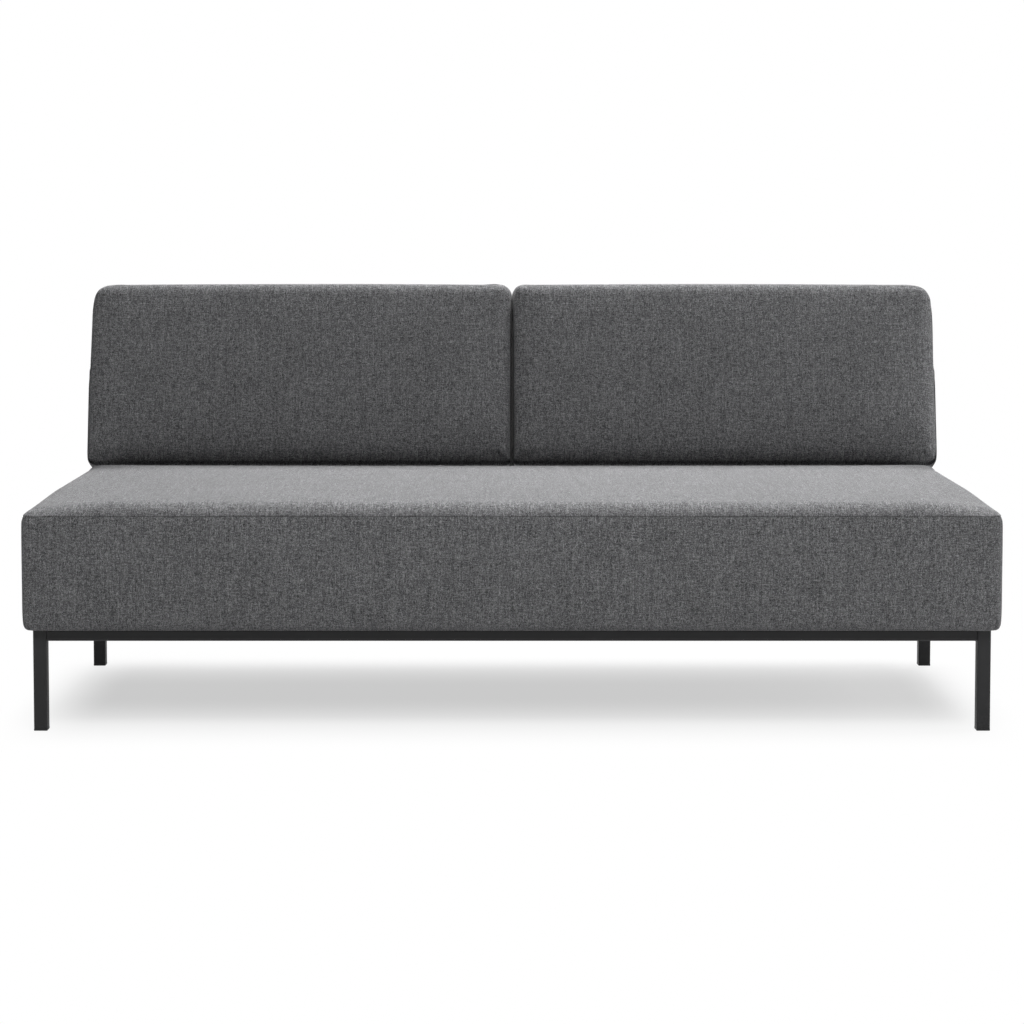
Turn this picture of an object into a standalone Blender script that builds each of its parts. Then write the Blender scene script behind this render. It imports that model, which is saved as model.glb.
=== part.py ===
"""An armless split-back futon: one upholstered seat on a square-tube steel base, and two backs that
each turn on a pair of hinges, from upright down to flat and level with the seat.

Metres, +Z up. The front faces -Y, X runs along the seat, left is -X, and the origin lies on the
floor under the middle of the object. The seat and backs are foam over wood in a cloth cover.
"""
import math

import bmesh
import bpy

# Seat
SEAT_WIDTH = 1.800
SEAT_DEPTH = 0.760
SEAT_THICKNESS = 0.234
SEAT_EDGE_RADIUS = 0.024
SEAT_CROWN = 0.008

# Backs
BACK_HEIGHT = 0.396
BACK_THICKNESS = 0.155
BACK_EDGE_RADIUS = 0.026
BACK_CROWN = 0.010
BACK_RAKE = math.radians(14.0)
SEAT_BACK_GAP = 0.004
BETWEEN_BACKS = 0.003

# Upholstery
COVER_CLOTH = 0.003
FOAM_FIT = 0.0006
SIDE_DRAW = 0.004
RIM_FLAT = 0.006
LIP_ON_WOOD = 0.022
UNDER_CLOTH = 0.0012
UNDER_CLOTH_LAP = 0.018

# Wood
WOOD_WIDTH = 0.040
WOOD_HEIGHT = 0.060
DECK_THICKNESS = 0.009
BOARD_THICKNESS = 0.012
STILE_WIDTH = 0.045
STILE_THICKNESS = 0.022

# Steel base
BASE_HEIGHT = 0.187
BASE_INSET = 0.016
LEG_SIDE = 0.025
RAIL_SIDE = 0.020
TUBE_WALL = 0.0015
TUBE_CORNER = 0.0025
CROSS_MEMBER_X = 0.420
GLIDE_HEIGHT = 0.004
GLIDE_STEM = 0.015
GLIDE_EDGE = 0.001

# Hinges
HINGE_FROM_SIDE = 0.120
PIN_RADIUS = 0.004
PIN_HEAD_RADIUS = 0.007
PIN_HEAD_HEIGHT = 0.003
KNUCKLE_RADIUS = 0.009
ARM_WIDTH = 0.030
ARM_THICKNESS = 0.005
ARM_BEND_RADIUS = 0.006
ARM_END = 0.018
POST_WIDTH = 0.020
POST_THICKNESS = 0.006
POST_FILLET = 0.008
END_GAP = 0.004

# Fasteners
BOLT_RADIUS = 0.004
BOLT_HEAD_RADIUS = 0.0075
BOLT_HEAD_HEIGHT = 0.005
BOLT_BITE = 0.035
BOLT_FROM_END = 0.150
SCREW_RADIUS = 0.003
SCREW_HEAD_RADIUS = 0.0065
SCREW_HEAD_HEIGHT = 0.0035
SCREW_BITE = 0.016
SCREW_FROM_LIP = 0.020
SCREW_SPACING = 0.060
HEAD_SHOULDER = 0.45
HEAD_FLAT = 0.6

# Fits and facets
TOUCH = 0.0003
TURN_FIT = 0.0003
SIDE_PLAY = 0.0005
WELD = 0.000001
SHARP = math.radians(45.0)
EDGE_STEPS = 3
ROUND_STEPS = 16
ARC_STEPS = 6

# Heights, from the floor up
BASE_UNDERSIDE = BASE_HEIGHT - RAIL_SIDE
SEAT_UNDERSIDE = BASE_HEIGHT + TOUCH + UNDER_CLOTH + TOUCH
SEAT_TOP = SEAT_UNDERSIDE + SEAT_THICKNESS
WOOD_UNDERSIDE = SEAT_UNDERSIDE + COVER_CLOTH + TOUCH
DECK_UNDERSIDE = WOOD_UNDERSIDE + WOOD_HEIGHT + TOUCH
SEAT_CAVITY = DECK_UNDERSIDE + DECK_THICKNESS + TOUCH - SEAT_UNDERSIDE

# Hinge axis. Measured in a back, it lies PIN_TO_END below the bottom end and PIN_TO_FRONT behind
# the front face. The two are set so that a back's front face comes level with the seat when flat.
PIN_TO_END = POST_WIDTH / 2 + END_GAP
PIN_TO_FRONT = PIN_TO_END * math.cos(BACK_RAKE) / (1 - math.sin(BACK_RAKE))
PIN_BEHIND_SEAT = SEAT_BACK_GAP + PIN_TO_END
PIN_Z = SEAT_TOP - PIN_TO_FRONT

# Depths. The object's middle is at Y = 0.
BACK_REACH = (
    (BACK_HEIGHT - BACK_EDGE_RADIUS) * math.sin(BACK_RAKE)
    + (BACK_THICKNESS - BACK_EDGE_RADIUS) * math.cos(BACK_RAKE)
    + BACK_EDGE_RADIUS
)
OVERALL_DEPTH = SEAT_DEPTH + SEAT_BACK_GAP + BACK_REACH
SEAT_FRONT_Y = -OVERALL_DEPTH / 2
SEAT_REAR_Y = SEAT_FRONT_Y + SEAT_DEPTH
SEAT_MIDDLE_Y = SEAT_FRONT_Y + SEAT_DEPTH / 2
PIN_Y = SEAT_REAR_Y + PIN_BEHIND_SEAT

# Base outline
BASE_WIDTH = SEAT_WIDTH - 2 * BASE_INSET
BASE_DEPTH = SEAT_DEPTH - 2 * BASE_INSET
LEG_X = (BASE_WIDTH - LEG_SIDE) / 2
LEG_Y = (BASE_DEPTH - LEG_SIDE) / 2
RAIL_REAR_Y = SEAT_MIDDLE_Y + LEG_Y + RAIL_SIDE / 2

# Backs, measured from the hinge pin: Y to the rear and Z up the slope
BACK_WIDTH = (SEAT_WIDTH - BETWEEN_BACKS) / 2
BACK_CENTRE_X = (BACK_WIDTH + BETWEEN_BACKS) / 2
HINGE_OFFSET = BACK_WIDTH / 2 - HINGE_FROM_SIDE
BACK_REAR = BACK_THICKNESS - PIN_TO_FRONT
STILE_REAR = BACK_REAR - COVER_CLOTH - TOUCH
BOARD_REAR = STILE_REAR - STILE_THICKNESS - TOUCH
BACK_CAVITY = COVER_CLOTH + STILE_THICKNESS + BOARD_THICKNESS + 3 * TOUCH
ARM_INNER = BACK_REAR + TOUCH + UNDER_CLOTH + TOUCH
ARM_OUTER = ARM_INNER + ARM_THICKNESS
SCREW_SHAFT = TOUCH + ARM_OUTER - STILE_REAR + SCREW_BITE

SIDES = (("left", -1), ("right", 1))
ENDS = (("front", -1), ("rear", 1))


def clear_scene():
    for obj in list(bpy.data.objects):
        bpy.data.objects.remove(obj, do_unlink=True)


def new_collection(name):
    collection = bpy.data.collections.new(name)
    bpy.context.scene.collection.children.link(collection)
    return collection


def finish(name, colour, roughness, metallic=0.0):
    """A plain finish: its colour, roughness and metallic value."""
    material = bpy.data.materials.new(name)
    material.use_nodes = True
    shader = material.node_tree.nodes["Principled BSDF"]
    shader.inputs["Base Color"].default_value = (*colour, 1.0)
    shader.inputs["Roughness"].default_value = roughness
    shader.inputs["Metallic"].default_value = metallic
    return material


clear_scene()
PARTS = new_collection("futon")
CUTTERS = new_collection("cutters")
POWDER_COAT = finish("black_powder_coat", (0.021, 0.021, 0.022), 0.5)
WEAVE = finish("grey_melange_weave", (0.105, 0.105, 0.108), 0.95)
FOAM = finish("foam", (0.80, 0.73, 0.52), 0.9)
TIMBER = finish("softwood", (0.60, 0.42, 0.24), 0.7)
PLYWOOD = finish("plywood", (0.66, 0.49, 0.30), 0.65)
BLACK_CLOTH = finish("black_under_cloth", (0.012, 0.012, 0.013), 0.95)
ZINC = finish("zinc_plated_steel", (0.56, 0.56, 0.57), 0.35, 1.0)
NYLON = finish("black_nylon", (0.011, 0.011, 0.011), 0.55)


def place(obj, location, rotation=(0.0, 0.0, 0.0), parent=None, collection=PARTS):
    obj.location = location
    obj.rotation_euler = rotation
    obj.parent = parent
    collection.objects.link(obj)
    return obj


def mesh_from(bm, name, material=None):
    mesh = bpy.data.meshes.new(name)
    bm.to_mesh(mesh)
    bm.free()
    if material:
        mesh.materials.append(material)
    return mesh


def raise_faces(bm, faces, lift):
    """Extrudes flat faces straight up, as a boss or, from below, as a hollow."""
    raised = bmesh.ops.extrude_face_region(bm, geom=faces)["geom"]
    points = [item for item in raised if isinstance(item, bmesh.types.BMVert)]
    bmesh.ops.translate(bm, vec=(0.0, 0.0, lift), verts=points)
    bmesh.ops.delete(bm, geom=faces, context="FACES")


def cut(target, cutter):
    boolean = target.modifiers.new(cutter.name, "BOOLEAN")
    boolean.operation = "DIFFERENCE"
    boolean.solver = "EXACT"
    boolean.object = cutter


def cutter_for(obj):
    """Marks an object as a guide for a cut, which isn't part of the model."""
    obj.hide_render = True
    obj.display_type = "WIRE"
    return obj


def solid_box(name, size, material, location, parent=None):
    """A sawn piece or a sheet, centred on its location."""
    bm = bmesh.new()
    bmesh.ops.create_cube(bm, size=1.0)
    bmesh.ops.scale(bm, vec=size, verts=bm.verts)
    return place(bpy.data.objects.new(name, mesh_from(bm, name, material)), location, parent=parent)


def square_tube(name, length, side, location, rotation=(0.0, 0.0, 0.0)):
    """A length of square tube along its own Z, open at both ends."""
    bm = bmesh.new()
    bmesh.ops.create_cube(bm, size=1.0)
    bmesh.ops.scale(bm, vec=(side, side, length), verts=bm.verts)
    bm.normal_update()
    ends = [face for face in bm.faces if abs(face.normal.z) > 0.5]
    bmesh.ops.delete(bm, geom=ends, context="FACES_ONLY")
    corners = [edge for edge in bm.edges if len(edge.link_faces) == 2]
    bmesh.ops.bevel(
        bm, geom=corners, offset=TUBE_CORNER, segments=2, profile=0.5, affect="EDGES", material=-1
    )
    tube = bpy.data.objects.new(name, mesh_from(bm, name, POWDER_COAT))
    wall = tube.modifiers.new("wall", "SOLIDIFY")
    wall.thickness = TUBE_WALL
    wall.offset = -1.0
    wall.use_even_offset = True
    return place(tube, location, rotation)


def turned(name, profile, material, location, rotation=(0.0, 0.0, 0.0), parent=None, collection=PARTS):
    """A round piece from its half profile, as (radius, height) pairs from the top down."""
    bm = bmesh.new()
    points = [bm.verts.new((radius, 0.0, height)) for radius, height in profile]
    for upper, lower in zip(points, points[1:]):
        bm.edges.new((upper, lower))
    obj = bpy.data.objects.new(name, mesh_from(bm, name, material))
    screw = obj.modifiers.new("turn", "SCREW")
    screw.steps = ROUND_STEPS
    screw.render_steps = ROUND_STEPS
    screw.use_merge_vertices = True
    screw.merge_threshold = WELD
    return place(obj, location, rotation, parent, collection)


def headed_profile(radius, length, head_radius, head_height):
    """A shank that rises from a low domed head, whose flat side is at height 0."""
    return (
        (0.0, length),
        (radius, length),
        (radius, 0.0),
        (head_radius, 0.0),
        (head_radius, -HEAD_SHOULDER * head_height),
        (HEAD_FLAT * head_radius, -head_height),
        (0.0, -head_height),
    )


def arc(centre, radius, start, end, steps=ARC_STEPS):
    """Points of an arc, with its angles in degrees."""
    angles = [math.radians(start + (end - start) * step / steps) for step in range(steps + 1)]
    return [(centre[0] + radius * math.cos(a), centre[1] + radius * math.sin(a)) for a in angles]


def flat_plate(name, outline, thickness, location, parent=None):
    """A plate cut to an outline of (Y, Z) points round the hinge pin, with the pin's hole in it."""
    curve = bpy.data.curves.new(name, "CURVE")
    curve.dimensions = "2D"
    curve.fill_mode = "BOTH"
    curve.extrude = thickness / 2
    hole = arc((0.0, 0.0), PIN_RADIUS + TURN_FIT, 0.0, 360.0, ROUND_STEPS)[:-1]
    for points in (outline, hole):
        spline = curve.splines.new("POLY")
        spline.points.add(len(points) - 1)
        spline.use_cyclic_u = True
        for point, (across, up) in zip(spline.points, points):
            point.co = (across, up, 0.0, 1.0)
    drawn = bpy.data.objects.new(name + "_outline", curve)
    bpy.context.scene.collection.objects.link(drawn)
    graph = bpy.context.evaluated_depsgraph_get()
    mesh = bpy.data.meshes.new_from_object(drawn.evaluated_get(graph))
    bpy.data.objects.remove(drawn, do_unlink=True)
    bm = bmesh.new()
    bm.from_mesh(mesh)
    bmesh.ops.remove_doubles(bm, verts=bm.verts, dist=WELD)
    bm.to_mesh(mesh)
    bm.free()
    mesh.materials.clear()
    mesh.materials.append(POWDER_COAT)
    upright = (math.pi / 2, 0.0, math.pi / 2)
    return place(bpy.data.objects.new(name, mesh), location, upright, parent)


def grid_lines(length, margins, cells):
    """Where a side of a cushion is divided: at each margin from both ends, and evenly between."""
    inner = max(margins)
    step = (length - 2 * inner) / cells
    between = [inner + step * number for number in range(1, cells)]
    near = sorted(margins)
    far = [length - margin for margin in reversed(near)]
    return near + between + far


class Cushion:
    """The shape that a cushion's cover and foam share: crowned on top, drawn in along its sides,
    with its front at y = 0 and its flat underside at z = 0."""

    long_cells = 4
    cross_cells = 3

    def __init__(self, size, radius, crown):
        self.size = size
        self.radius = radius
        self.crown = crown
        self.cavity_inset = radius + RIM_FLAT
        self.lip = self.cavity_inset + LIP_ON_WOOD

    def block(self, inset):
        """The closed shape, smaller by the inset on every side."""
        width, depth, height = self.size
        bm = bmesh.new()
        bmesh.ops.create_cube(bm, size=1.0)
        bmesh.ops.scale(bm, vec=[side - 2 * inset for side in self.size], verts=bm.verts)
        bmesh.ops.translate(bm, vec=(0.0, depth / 2, height / 2), verts=bm.verts)
        margins = (self.cavity_inset, self.lip)
        lines_x = [line - width / 2 for line in grid_lines(width, margins, self.long_cells)]
        lines_y = grid_lines(depth, margins, self.cross_cells)
        for axis, lines in enumerate((lines_x, lines_y, [height / 2])):
            for line in lines:
                normal = [float(axis == other) for other in range(3)]
                through = [line * part for part in normal]
                everything = bm.verts[:] + bm.edges[:] + bm.faces[:]
                bmesh.ops.bisect_plane(bm, geom=everything, plane_co=through, plane_no=normal)
        edges = [edge for edge in bm.edges if edge.calc_face_angle() > SHARP]
        bmesh.ops.bevel(
            bm,
            geom=edges,
            offset=self.radius - inset,
            segments=EDGE_STEPS,
            profile=0.5,
            affect="EDGES",
            material=-1,
        )
        for vert in bm.verts:
            vert.co = self.swell(vert.co)
        bm.normal_update()
        return bm

    def swell(self, point):
        """Lifts the crown, and draws the sides in between the corners."""
        width, depth, height = self.size
        along = 2 * point.x / width
        across = 2 * point.y / depth - 1
        up = point.z / height
        flat_along = 1 - along**4
        flat_across = 1 - across**4
        draw = SIDE_DRAW * 4 * up * (1 - up)
        return (
            point.x - draw * along**3 * flat_across,
            point.y - draw * across**3 * flat_along,
            point.z + self.crown * up * flat_along * flat_across,
        )

    def underside(self, bm, margin):
        """The faces of the underside that lie further in than the margin."""
        width, depth, _ = self.size
        return [
            face
            for face in bm.faces
            if face.normal.z < -0.99
            and abs(face.calc_center_median().x) < width / 2 - margin
            and abs(face.calc_center_median().y - depth / 2) < depth / 2 - margin
        ]

    def cover(self, name, location, rotation=(0.0, 0.0, 0.0), parent=None):
        """The sewn cloth, turned under on a lip round its open underside."""
        bm = self.block(0.0)
        bmesh.ops.delete(bm, geom=self.underside(bm, self.lip), context="FACES")
        obj = bpy.data.objects.new(name, mesh_from(bm, name, WEAVE))
        obj.data.shade_smooth()
        cloth = obj.modifiers.new("cloth", "SOLIDIFY")
        cloth.thickness = COVER_CLOTH
        cloth.offset = -1.0
        cloth.use_even_offset = True
        return place(obj, location, rotation, parent)

    def foam(self, name, cavity, location, rotation=(0.0, 0.0, 0.0), parent=None):
        """The foam, hollowed from its underside to sit over the wood."""
        inset = COVER_CLOTH + FOAM_FIT
        bm = self.block(inset)
        raise_faces(bm, self.underside(bm, self.cavity_inset), cavity - inset)
        obj = bpy.data.objects.new(name, mesh_from(bm, name, FOAM))
        obj.data.shade_smooth()
        return place(obj, location, rotation, parent)


def build_base():
    """Legs at the corners, rails butted between them, and two cross members from front to rear."""
    leg_length = BASE_HEIGHT - GLIDE_HEIGHT - TOUCH
    leg_z = BASE_HEIGHT - leg_length / 2
    for end, toward_rear in ENDS:
        for side, toward_right in SIDES:
            x = toward_right * LEG_X
            y = SEAT_MIDDLE_Y + toward_rear * LEG_Y
            square_tube(f"leg_{end}_{side}", leg_length, LEG_SIDE, (x, y, leg_z))
            build_glide(f"foot_glide_{end}_{side}", (x, y, 0.0))
    rail_z = BASE_HEIGHT - RAIL_SIDE / 2
    long_rail = 2 * LEG_X - LEG_SIDE - 2 * TOUCH
    short_rail = 2 * LEG_Y - LEG_SIDE - 2 * TOUCH
    lengthwise = (0.0, math.pi / 2, 0.0)
    crosswise = (math.pi / 2, 0.0, 0.0)
    for end, toward_rear in ENDS:
        y = SEAT_MIDDLE_Y + toward_rear * LEG_Y
        square_tube(f"base_rail_{end}", long_rail, RAIL_SIDE, (0.0, y, rail_z), lengthwise)
    member = 2 * LEG_Y - RAIL_SIDE - 2 * TOUCH
    for side, toward_right in SIDES:
        at_leg = (toward_right * LEG_X, SEAT_MIDDLE_Y, rail_z)
        square_tube(f"base_rail_{side}", short_rail, RAIL_SIDE, at_leg, crosswise)
        inside = (toward_right * CROSS_MEMBER_X, SEAT_MIDDLE_Y, rail_z)
        square_tube(f"cross_member_{side}", member, RAIL_SIDE, inside, crosswise)


def build_glide(name, location):
    """A moulded foot with a stem that plugs the leg's open end."""
    bm = bmesh.new()
    bmesh.ops.create_cube(bm, size=1.0)
    bmesh.ops.scale(bm, vec=(LEG_SIDE, LEG_SIDE, GLIDE_HEIGHT), verts=bm.verts)
    bmesh.ops.translate(bm, vec=(0.0, 0.0, GLIDE_HEIGHT / 2), verts=bm.verts)
    bm.normal_update()
    top = [face for face in bm.faces if face.normal.z > 0.5]
    outline = [edge for edge in bm.edges if not any(face in top for face in edge.link_faces)]
    bmesh.ops.inset_region(bm, faces=top, thickness=TUBE_CORNER + TUBE_WALL)
    raise_faces(bm, top, GLIDE_STEM)
    bmesh.ops.bevel(
        bm, geom=outline, offset=GLIDE_EDGE, segments=2, profile=0.5, affect="EDGES", material=-1
    )
    place(bpy.data.objects.new(name, mesh_from(bm, name, NYLON)), location)


def build_seat():
    """Cover and foam over a wooden frame with a deck, closed underneath by a dust cloth."""
    seat = Cushion((SEAT_WIDTH, SEAT_DEPTH, SEAT_THICKNESS), SEAT_EDGE_RADIUS, SEAT_CROWN)
    corner = (0.0, SEAT_FRONT_Y, SEAT_UNDERSIDE)
    seat.cover("seat_cover", corner)
    seat.foam("seat_foam", SEAT_CAVITY, corner)

    frame_width = SEAT_WIDTH - 2 * (seat.cavity_inset + TOUCH)
    frame_depth = SEAT_DEPTH - 2 * (seat.cavity_inset + TOUCH)
    wood_z = WOOD_UNDERSIDE + WOOD_HEIGHT / 2
    for end, toward_rear in ENDS:
        y = SEAT_MIDDLE_Y + toward_rear * (frame_depth - WOOD_WIDTH) / 2
        size = (frame_width, WOOD_WIDTH, WOOD_HEIGHT)
        solid_box(f"seat_rail_{end}", size, TIMBER, (0.0, y, wood_z))
    short = (WOOD_WIDTH, frame_depth - 2 * (WOOD_WIDTH + TOUCH), WOOD_HEIGHT)
    bearers = {}
    for side, toward_right in SIDES:
        x = toward_right * (frame_width - WOOD_WIDTH) / 2
        solid_box(f"seat_rail_{side}", short, TIMBER, (x, SEAT_MIDDLE_Y, wood_z))
        over_member = (toward_right * CROSS_MEMBER_X, SEAT_MIDDLE_Y, wood_z)
        bearers[side] = solid_box(f"seat_bearer_{side}", short, TIMBER, over_member)
    deck_z = DECK_UNDERSIDE + DECK_THICKNESS / 2
    deck = (frame_width, frame_depth, DECK_THICKNESS)
    solid_box("seat_deck", deck, PLYWOOD, (0.0, SEAT_MIDDLE_Y, deck_z))

    cloth_inset = seat.lip - UNDER_CLOTH_LAP
    cloth = (SEAT_WIDTH - 2 * cloth_inset, SEAT_DEPTH - 2 * cloth_inset, UNDER_CLOTH)
    cloth_z = BASE_HEIGHT + TOUCH + UNDER_CLOTH / 2
    dust_cloth = solid_box("dust_cloth", cloth, BLACK_CLOTH, (0.0, SEAT_MIDDLE_Y, cloth_z))
    for side, toward_right in SIDES:
        for end, toward_rear in ENDS:
            y = SEAT_MIDDLE_Y + toward_rear * (BASE_DEPTH / 2 - BOLT_FROM_END)
            member = PARTS.objects[f"cross_member_{side}"]
            build_bolt(f"{end}_{side}", toward_right, y, (member, dust_cloth, bearers[side]))


def build_bolt(where, toward_right, y, held):
    """A bolt up through a cross member into the wooden bearer above it."""
    length = TOUCH + WOOD_UNDERSIDE - BASE_UNDERSIDE + BOLT_BITE
    profile = headed_profile(BOLT_RADIUS, length, BOLT_HEAD_RADIUS, BOLT_HEAD_HEIGHT)
    location = (toward_right * CROSS_MEMBER_X, y, BASE_UNDERSIDE - TOUCH)
    turned(f"base_bolt_{where}", profile, ZINC, location)
    hole = headed_profile(BOLT_RADIUS + TURN_FIT, length + TOUCH, BOLT_HEAD_RADIUS, BOLT_HEAD_HEIGHT)
    cutter = cutter_for(turned(f"bolt_hole_{where}", hole, None, location, collection=CUTTERS))
    for piece in held:
        cut(piece, cutter)


def build_back(side, toward_right):
    """A back on its hinges. Its pieces hang from an empty on the hinge axis, tilted to the rake."""
    axis = bpy.data.objects.new(f"{side}_back_axis", None)
    centre_x = toward_right * BACK_CENTRE_X
    place(axis, (centre_x, PIN_Y, PIN_Z), (-BACK_RAKE, 0.0, 0.0))

    back = Cushion((BACK_WIDTH, BACK_HEIGHT, BACK_THICKNESS), BACK_EDGE_RADIUS, BACK_CROWN)
    corner = (0.0, BACK_REAR, PIN_TO_END)
    facing_front = (math.pi / 2, 0.0, 0.0)
    back.cover(f"{side}_back_cover", corner, facing_front, axis)
    back.foam(f"{side}_back_foam", BACK_CAVITY, corner, facing_front, axis)

    middle_z = PIN_TO_END + BACK_HEIGHT / 2
    inner_width = BACK_WIDTH - 2 * (back.cavity_inset + TOUCH)
    inner_height = BACK_HEIGHT - 2 * (back.cavity_inset + TOUCH)
    board = (inner_width, BOARD_THICKNESS, inner_height)
    board_y = BOARD_REAR - BOARD_THICKNESS / 2
    solid_box(f"{side}_back_board", board, PLYWOOD, (0.0, board_y, middle_z), axis)

    cloth_inset = back.lip - UNDER_CLOTH_LAP
    cloth = (BACK_WIDTH - 2 * cloth_inset, UNDER_CLOTH, BACK_HEIGHT - 2 * cloth_inset)
    cloth_y = BACK_REAR + TOUCH + UNDER_CLOTH / 2
    outside = solid_box(f"{side}_back_outside_cloth", cloth, WEAVE, (0.0, cloth_y, middle_z), axis)

    stile_y = STILE_REAR - STILE_THICKNESS / 2
    stile = (STILE_WIDTH, STILE_THICKNESS, inner_height)
    first_screw = PIN_TO_END + back.lip + SCREW_FROM_LIP
    for where, toward_outside in (("outer", 1), ("inner", -1)):
        offset = toward_right * toward_outside * HINGE_OFFSET
        upright = solid_box(f"{side}_back_stile_{where}", stile, TIMBER, (offset, stile_y, middle_z), axis)
        arm = build_hinge(f"{side}_{where}", centre_x, offset, first_screw, axis)
        for level, height in (("lower", first_screw), ("upper", first_screw + SCREW_SPACING)):
            name = f"{side}_{where}_{level}"
            build_screw(name, (offset, ARM_OUTER + TOUCH, height), (arm, outside, upright), axis)


def build_hinge(name, centre_x, offset, first_screw, axis):
    """Post on the base's rear rail, arm under and behind the back, and the riveted pin they turn on."""
    toward_middle = -math.copysign(1.0, offset)
    post_from_arm = ARM_WIDTH / 2 + SIDE_PLAY + POST_THICKNESS / 2
    post_x = centre_x + offset + toward_middle * post_from_arm
    flat_plate(f"hinge_post_{name}", post_outline(), POST_THICKNESS, (post_x, PIN_Y, PIN_Z))
    outline = arm_outline(first_screw + SCREW_SPACING + ARM_END)
    arm = flat_plate(f"hinge_arm_{name}", outline, ARM_WIDTH, (offset, 0.0, 0.0), axis)

    shank = ARM_WIDTH + POST_THICKNESS + 3 * SIDE_PLAY
    head_top = shank + PIN_HEAD_HEIGHT
    rivet = (
        (0.0, head_top),
        (PIN_HEAD_RADIUS, head_top),
        (PIN_HEAD_RADIUS, shank),
        (PIN_RADIUS, shank),
        *headed_profile(PIN_RADIUS, shank, PIN_HEAD_RADIUS, PIN_HEAD_HEIGHT)[2:],
    )
    start_x = centre_x + offset - toward_middle * (ARM_WIDTH / 2 + SIDE_PLAY)
    along_x = (0.0, toward_middle * math.pi / 2, 0.0)
    turned(f"hinge_pin_{name}", rivet, ZINC, (start_x, PIN_Y, PIN_Z), along_x)
    return arm


def post_outline():
    """A foot against the rear rail, and an upright with a round head about the pin."""
    half = POST_WIDTH / 2
    foot_front = RAIL_REAR_Y + TOUCH - PIN_Y
    foot_top = BASE_HEIGHT - PIN_Z
    foot_bottom = BASE_UNDERSIDE - PIN_Z
    inner_corner = (-half - POST_FILLET, foot_top + POST_FILLET)
    outer_corner = (half - POST_FILLET, foot_bottom + POST_FILLET)
    return [
        *arc((0.0, 0.0), half, 0.0, 180.0, 2 * ARC_STEPS),
        *arc(inner_corner, POST_FILLET, 360.0, 270.0),
        (foot_front, foot_top),
        (foot_front, foot_bottom),
        *arc(outer_corner, POST_FILLET, 270.0, 360.0),
    ]


def arm_outline(top):
    """A strap with a knuckle round the pin, bent up behind the back to the given height."""
    under_face = KNUCKLE_RADIUS - ARM_THICKNESS
    meets = math.degrees(math.asin(under_face / KNUCKLE_RADIUS))
    bend = (ARM_INNER - ARM_BEND_RADIUS, KNUCKLE_RADIUS + ARM_BEND_RADIUS)
    return [
        *arc((0.0, 0.0), KNUCKLE_RADIUS, 90.0, 360.0 + meets, 3 * ARC_STEPS),
        *arc(bend, ARM_BEND_RADIUS + ARM_THICKNESS, 270.0, 360.0),
        (ARM_OUTER, top),
        (ARM_INNER, top),
        *arc(bend, ARM_BEND_RADIUS, 360.0, 270.0),
    ]


def build_screw(name, location, held, axis):
    """A screw through the arm and the outside cloth into the stile."""
    into_stile = (math.pi / 2, 0.0, 0.0)
    profile = headed_profile(SCREW_RADIUS, SCREW_SHAFT, SCREW_HEAD_RADIUS, SCREW_HEAD_HEIGHT)
    turned(f"arm_screw_{name}", profile, ZINC, location, into_stile, axis)
    wide = SCREW_RADIUS + TURN_FIT
    hole = headed_profile(wide, SCREW_SHAFT + TOUCH, SCREW_HEAD_RADIUS, SCREW_HEAD_HEIGHT)
    cutter = cutter_for(turned(f"screw_hole_{name}", hole, None, location, into_stile, axis, CUTTERS))
    for piece in held:
        cut(piece, cutter)


build_base()
build_seat()
for side_name, side_sign in SIDES:
    build_back(side_name, side_sign)
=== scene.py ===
import math

import bmesh
import bpy
import numpy as np
from mathutils import Matrix, Vector


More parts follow.
